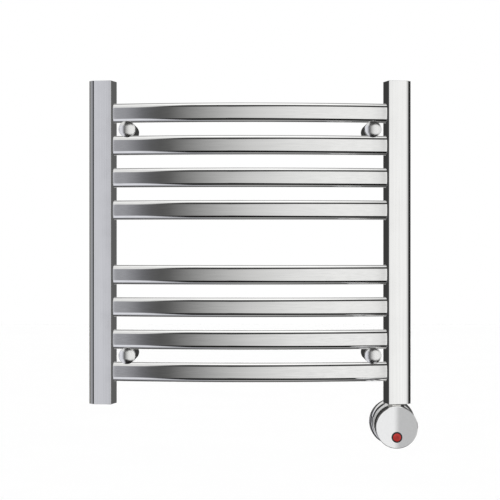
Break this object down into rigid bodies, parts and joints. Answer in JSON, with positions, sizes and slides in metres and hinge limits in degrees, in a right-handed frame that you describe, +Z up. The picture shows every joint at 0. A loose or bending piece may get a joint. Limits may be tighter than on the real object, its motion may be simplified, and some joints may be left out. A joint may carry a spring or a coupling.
{
  "type": "towel warmer rack",
  "caption": "Wall-hung electric towel warmer: bowed flat bars between two upright posts, round wall brackets and a round push-button control head under one post.",
  "frame": {"origin": "on the wall plane, midway between the four wall brackets", "axes": "+X to the right seen from the room, +Y into the wall, +Z up"},
  "size_m": [0.5107, 0.1113, 0.5706],
  "materials": {
    "polished_chrome": "mirror polished chrome",
    "satin_steel": "plain zinc and stainless steel",
    "brass": "turned brass",
    "black_rubber": "moulded rubber",
    "black_plastic": "gloss black moulding",
    "red_lens": "translucent red moulding",
    "board_green": "glass fibre board with solder mask",
    "terminal_grey": "moulded terminal block"
  },
  "bodies": {
    "rack": {"left_post": "polished_chrome", "right_post": "polished_chrome", "left_post_top_plate": "polished_chrome", "right_post_top_plate": "polished_chrome", "left_post_bottom_plate": "polished_chrome", "bar_1": "polished_chrome", "bar_2": "polished_chrome", "bar_3": "polished_chrome", "bar_4": "polished_chrome", "bar_5": "polished_chrome", "bar_6": "polished_chrome", "bar_7": "polished_chrome", "bar_8": "polished_chrome", "upper_left_clamp_cap": "polished_chrome", "upper_right_clamp_cap": "polished_chrome", "lower_left_clamp_cap": "polished_chrome", "lower_right_clamp_cap": "polished_chrome", "upper_left_stand_off": "polished_chrome", "upper_right_stand_off": "polished_chrome", "lower_left_stand_off": "polished_chrome", "lower_right_stand_off": "polished_chrome", "control_housing": "polished_chrome", "control_front_plate": "polished_chrome", "connection_sleeve": "polished_chrome", "wall_flange": "polished_chrome", "upper_left_clamp_bolt": "satin_steel", "upper_right_clamp_bolt": "satin_steel", "lower_left_clamp_bolt": "satin_steel", "lower_right_clamp_bolt": "satin_steel", "upper_left_wall_boss": "satin_steel", "upper_right_wall_boss": "satin_steel", "lower_left_wall_boss": "satin_steel", "lower_right_wall_boss": "satin_steel", "upper_left_grub_screw": "satin_steel", "upper_right_grub_screw": "satin_steel", "lower_left_grub_screw": "satin_steel", "lower_right_grub_screw": "satin_steel", "element_rod": "satin_steel", "bridge_plate": "satin_steel", "sleeve_grub_screw": "satin_steel", "housing_screw_1": "satin_steel", "housing_screw_2": "satin_steel", "housing_screw_3": "satin_steel", "button_return_spring": "satin_steel", "element_bush": "brass", "element_body": "brass", "element_lock_nut": "brass", "element_washer": "black_rubber", "cable_grommet": "black_rubber", "button_bezel": "black_plastic", "switch_body": "black_plastic", "circuit_board": "board_green", "terminal_block": "terminal_grey"},
    "button": {"push_button": "red_lens"}
  },
  "joints": [
    {"name": "button_press", "type": "slide", "parent": "rack", "child": "button", "axis": [0, 1, 0], "range_m": [0, 0.0015], "stiffness_N_per_m": 600, "springref_m": -0.001, "deforming": ["button_return_spring"]}
  ]
}
